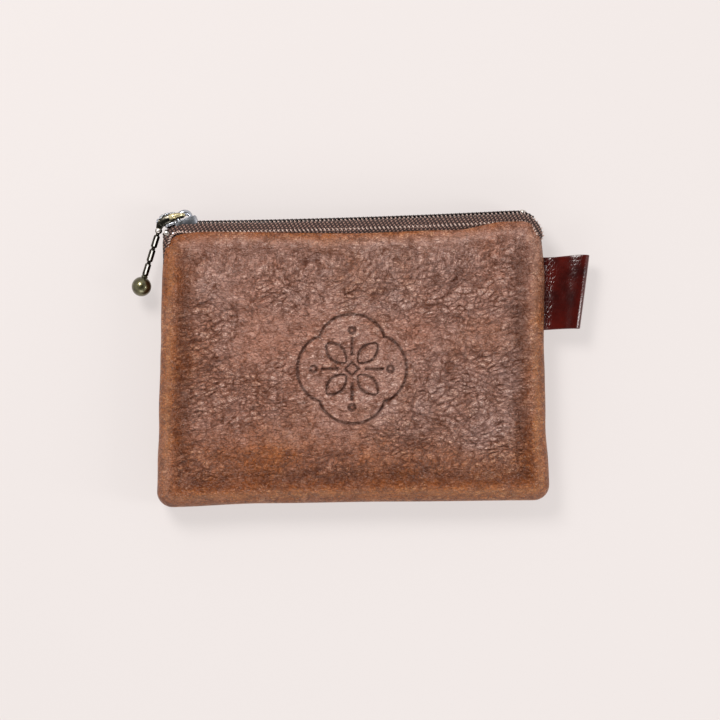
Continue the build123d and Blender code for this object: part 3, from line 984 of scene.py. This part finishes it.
def milled_edge():
    """The row of beads along the link's upper edge, in the slider's bright nickel as a painted highlight
    on the dark link.
    """
    chunks = []
    for k in range(2, 6):
        for share in (0.0, 0.5):
            (s0, v0), thick0, half0 = LINK_PATH[k]
            (s1, v1), thick1, half1 = LINK_PATH[k + 1]
            s, v = s0 + (s1 - s0) * share, v0 + (v1 - v0) * share
            run = Vector((s0 - s1, v0 - v1, 0)).normalized()
            rise = Vector((-run.y, run.x, 0)) * (thick0 + (thick1 - thick0) * share - 0.05)
            wide = (half0 + (half1 - half0) * share) * 0.92
            points = [SLIDER @ (Vector((s, v, wide * c)) + rise) for c in (-1, -0.85, -0.3, 0.3, 0.85, 1)]
            chunks.append(tube(points, [0.12, 0.42, 0.52, 0.52, 0.42, 0.12], 12))
    return add_mesh("milled_edge", *joined(chunks))


link = puller_link()
finish_piece(link, GUNMETAL, "puller", "dark_metal", "puller_arm")
finish_piece(puller_eye(), HIGHLIGHT_BRASS, "puller", "dark_metal")
finish_piece(puller_cheeks(), HIGHLIGHT_BRASS, "puller", "dark_metal")
finish_piece(milled_edge(), NICKEL, "puller", "bright_metal")

ROD_ANGLE = math.radians(251.0)


def on_rod(distance, w=0.0):
    s = PIVOT_S + distance * math.cos(ROD_ANGLE)
    v = PIVOT_V + distance * math.sin(ROD_ANGLE)
    return SLIDER @ Vector((s, v, w))


def pull_parts():
    """The rod: an eye, then three faceted lengths with turned grooves between."""
    chunks = [tube([on_rod(0, -0.42), on_rod(0, -0.2), on_rod(0, 0.2), on_rod(0, 0.42)],
                   [0.95, 1.05, 1.05, 0.95], 20)]
    chunks.append(tube([on_rod(0.7 + 0.5 * k) for k in range(29)], 0.56, 12))
    rod = add_mesh("rod_core", *joined(chunks))
    facets = []
    first, last = 1.5, 14.9
    run = (last - first) / 3
    along = (on_rod(1) - on_rod(0)).normalized()
    across = along.cross(Vector((0, 0, 1)))
    # thin near-white strips on the facets' flats, painted glints
    glint_strips = []
    for k in range(3):
        start = first + k * run
        end = start + run - 0.65
        half, high = 0.92, 0.88
        section = ((0.26, 1.0), (-0.26, 1.0), (-1.0, 0.35), (-1.0, -0.35), (-0.26, -1.0), (0.26, -1.0),
                   (1.0, -0.35), (1.0, 0.35))
        rings = []
        for t, swell in ((start, 0.70), (start + 0.2, 1.0), (end - 0.2, 1.0), (end, 0.70)):
            rings.append([on_rod(t) + across * (half * swell * c) + Vector((0, 0, high * swell * d))
                          for c, d in section])
        facets.append(loft(rings))
        for sign in (1, -1):
            low, top = sorted((sign * (high - 0.06), sign * (high + 0.05)))
            near, far = start + 0.35, end - 0.35
            outline = [(near, -0.20), (far, -0.20), (far, 0.20), (near, 0.20)]
            glint_strips.append(slab(outline, low, top, lambda t, c, w: on_rod(t, w) + across * c))
        bead = on_rod(start + run - 0.33)
        facets.append(tube([bead - along * 0.2, bead, bead + along * 0.2], [0.5, 0.80, 0.5], 16))
    lengths = add_mesh("rod_lengths", *joined(facets))
    return rod, bevel(lengths, 0.08, 2, 25), add_mesh("rod_glint_strips", *joined(glint_strips), smooth=False)


rod_core, rod_lengths, rod_glint_strips = pull_parts()
finish_piece(rod_core, GUNMETAL, "pull", "dark_metal", "pull_rod")
finish_piece(rod_lengths, GUNMETAL, "pull", "dark_metal")
finish_piece(rod_glint_strips, GLINT_STEEL, "pull", "bright_metal")


BALL_REACH = 17.7
BALL_R = 3.0


def pull_ball():
    """The ball, with the small collar that the rod goes into."""
    centre = on_rod(BALL_REACH)
    along = (on_rod(1) - on_rod(0)).normalized()
    points, radii = [], []
    for k in range(6):
        points.append(centre - along * (3.55 - 0.12 * k))
        radii.append(0.72 + 0.35 * math.sin(math.pi * k / 10))
    for k in range(3, 40):
        turn = math.pi * k / 40
        points.append(centre - along * (BALL_R * math.cos(turn)))
        radii.append(BALL_R * math.sin(turn))
    points.append(centre + along * (BALL_R - 0.001))
    radii.append(0.03)
    return add_mesh("brass_ball", *tube(points, radii, 40))


finish_piece(pull_ball(), OLD_BRASS, "pull", "antique_brass", "pull_ball")


def pin_head():
    """The pin through the fork with its two domed heads."""
    profile = [(-1.80, 0.05), (-1.75, 0.40), (-1.60, 0.68), (-1.35, 0.78), (-1.3, 0.4), (1.3, 0.4),
               (1.35, 0.78), (1.60, 0.68), (1.75, 0.40), (1.80, 0.05)]
    points = [on_rod(0, w) for w, _ in profile]
    return add_mesh("pivot_pin", *tube(points, [r for _, r in profile], 20))


finish_piece(pin_head(), BRIGHT, "puller", "bright_metal", "hinge_pin")


def stop_clamp(name, u, v, turn, length, across):
    """A zip stop: a little metal staple bent round the coil, with rounded ends."""
    place = ZIP @ Matrix.Translation((u, v, 0)) @ Matrix.Rotation(turn, 4, "Z")
    low, high = across
    middle = (low + high) / 2
    half = (high - low) / 2
    rings = []
    for k in range(9):
        t = -1 + 2 * k / 8
        swell = (1 - abs(t) ** 3 * 0.35)
        ring = []
        for c in range(16):
            a = 2 * math.pi * c / 16
            w = middle + half * swell * math.copysign(abs(math.cos(a)) ** 0.45, math.cos(a))
            h = -0.62 + 0.92 * swell * math.copysign(abs(math.sin(a)) ** 0.45, math.sin(a))
            ring.append(place @ Vector((t * length / 2, h, w)))
        rings.append(ring)
    return add_mesh(name, *loft(rings))


stops = (("front_stop_clamp", -56.9, -3.3, math.radians(52), 1.5, (1.5, 3.9), "front_top_stop"),
         ("back_stop_clamp", -56.9, -3.3, math.radians(52), 1.5, (-3.9, -1.5), "back_top_stop"),
         ("end_stop_clamp", 51.6, -0.25, math.radians(-16), 2.0, (-1.9, 1.9), "bottom_stop"))
for name, u, v, turn, length, across, node in stops:
    finish_piece(stop_clamp(name, u, v, turn, length, across), BRIGHT, "pouch", "bright_metal", node)

# ---------------------------------------------------------------- the side tab

TAB_ROOT = 53.0
TAB_TOP_OUT = (71.2, 31.9)
TAB_LOW_OUT = (68.3, 9.5)
TAB_PLY = 1.1
TAB_STEPS = 26
TAB_FOLD = 0.95
TAB_FOLD_HALF = 1.32


def folded_tab():
    """The loop: a strip folded at its outer end, its plies pressed together and slightly cupped."""
    rows = 34
    path = [(k / TAB_STEPS, 1.0) for k in range(TAB_STEPS + 1)]
    path += [(1.0, math.cos(math.pi * k / 8)) for k in range(1, 8)]
    path += [(1 - k / TAB_STEPS, -1.0) for k in range(TAB_STEPS + 1)]
    vertices, rims = [], []
    for j in range(rows + 1):
        share = j / rows
        for i, (t, side) in enumerate(path):
            outer_x = TAB_LOW_OUT[0] + (TAB_TOP_OUT[0] - TAB_LOW_OUT[0]) * share - TAB_FOLD
            x = TAB_ROOT + (outer_x - TAB_ROOT) * t
            y_low = 8.9 + 0.6 * smooth_step(t, 0, 1)
            y_high = 31.1 + 0.8 * smooth_step(t, 0.3, 1)
            y = y_low + (y_high - y_low) * share
            bulge = 0.62 + 0.70 * smooth_step(t, 0.72, 0.97)
            z = side * bulge
            if t == 1.0 and abs(side) < 1:
                x += TAB_FOLD * math.sqrt(1 - side * side)
                z = side * TAB_FOLD_HALF
            cup = 0.35 * math.sin(math.pi * share) * smooth_step(t, 0.3, 0.8)
            z += cup * (1 if side > 0 else 0.6) + noise.noise((x * 0.25, y * 0.2, 4)) * 0.15
            vertices.append((x, y, MID + z))
            rims.append(1 - smooth_step(t, 0.26, 0.56))
    piece = add_mesh("folded_tab", vertices, grid_faces(rows + 1, len(path)))
    mark(piece, "rim", rims)
    solid = piece.modifiers.new("ply", "SOLIDIFY")
    solid.thickness = TAB_PLY * MM
    solid.offset = 0
    solid.use_even_offset = True
    apply_modifiers(piece)
    bevel(piece, 0.25, 3, 50)
    for polygon in piece.data.polygons:
        polygon.use_smooth = True
    return piece


tab = folded_tab()
tab.data.materials.append(TAB_LEATHER)
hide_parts("side_tab")
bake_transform(tab)


def tab_stitches():
    """The lockstitch through both plies of the loop, along its seam."""
    low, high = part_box("tab_thread")
    x = (low.x + high.x) / 2 / MM
    bottom, top, half = low.y / MM, high.y / MM, (high.z - low.z) / 2 / MM
    count = 7
    step = (top - bottom) / count
    chunks = []
    for k in range(count):
        a, b = bottom + step * k, bottom + step * (k + 1)
        for sign in (1, -1):
            loop = [(a, 0.0), (a + 0.12, sign * half * 0.85), (a + 0.5, sign * half),
                    (b - 0.5, sign * half), (b - 0.12, sign * half * 0.85), (b, 0.0)]
            chunks.append(tube([Vector((x, y, MID + z)) for y, z in loop], 0.17, 8))
    return add_mesh("tab_stitches", *joined(chunks))


stitches = tab_stitches()
stitches.data.materials.append(SEWING)
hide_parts("tab_thread")
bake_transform(stitches)

# ---------------------------------------------------------------- CAD nodes that stay

for name in ("zip_thread_front", "zip_thread_back", "seam_thread_bottom", "seam_thread_left",
             "seam_thread_right"):
    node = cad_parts[name]
    node.data.materials.clear()
    node.data.materials.append(SEWING)

# ---------------------------------------------------------------- floor, light and camera


def floor_plane():
    """The sheet of an evenly lit light table, which keeps the shadows faint."""
    bpy.ops.mesh.primitive_plane_add(size=6, location=(0, 0, -0.0002))
    floor = bpy.context.object
    floor.name = "floor"
    n = Nodes("floor_paper")
    base = n.mix(n.range(n.noise(3, 2), 0.3, 0.7), (0.206, 0.192, 0.188), (0.214, 0.200, 0.196))
    n.set(base=base, rough=0.9, specular=0.1, glow=0.49, glow_colour=(1, 0.935, 0.915))
    floor.data.materials.append(n.material)


def area_light(name, place, size, power, colour=(1, 1, 1)):
    """A soft rectangular light aimed at the origin."""
    light = bpy.data.lights.new(name, "AREA")
    light.shape = "RECTANGLE"
    light.size, light.size_y = size
    light.energy = power
    light.color = colour
    lamp = bpy.data.objects.new(name, light)
    lamp.location = place
    lamp.rotation_euler = (-Vector(place)).to_track_quat("-Z", "Y").to_euler()
    bpy.context.scene.collection.objects.link(lamp)


def studio():
    """A room that is dark overhead and lighter towards its walls, with three lights off to the sides."""
    world = bpy.data.worlds.new("studio")
    bpy.context.scene.world = world
    world.use_nodes = True
    tree = world.node_tree
    coords = tree.nodes.new("ShaderNodeTexCoord")
    split = tree.nodes.new("ShaderNodeSeparateXYZ")
    height = tree.nodes.new("ShaderNodeMapRange")
    height.inputs["From Min"].default_value = 0.55
    height.inputs["From Max"].default_value = 0.97
    height.inputs["To Min"].default_value = 0.72
    height.inputs["To Max"].default_value = 0.10
    tree.links.new(coords.outputs["Generated"], split.inputs["Vector"])
    tree.links.new(split.outputs["Z"], height.inputs["Value"])
    background = tree.nodes["Background"]
    background.inputs["Color"].default_value = (1, 0.985, 0.975, 1)
    tree.links.new(height.outputs["Result"], background.inputs["Strength"])
    area_light("key", (-0.30, 0.44, 0.68), (0.30, 0.30), 5.2, (1, 0.985, 0.965))
    area_light("right", (0.62, -0.12, 0.36), (0.15, 0.4), 1.7)
    area_light("front", (-0.05, -0.60, 0.42), (0.5, 0.3), 0.9)


def camera():
    """A long lens straight above the pouch."""
    data = bpy.data.cameras.new("camera")
    data.sensor_width = 36
    distance = 0.9
    frame_width = 0.2185
    data.lens = data.sensor_width * distance / frame_width
    data.clip_start = 0.01
    holder = bpy.data.objects.new("camera", data)
    aim_x = 0.0021
    holder.location = (aim_x, 0, distance + MID * MM)
    bpy.context.scene.collection.objects.link(holder)
    bpy.context.scene.camera = holder


floor_plane()
studio()
camera()
bpy.context.scene.view_settings.view_transform = "Standard"
bpy.context.scene.view_settings.look = "Medium High Contrast"
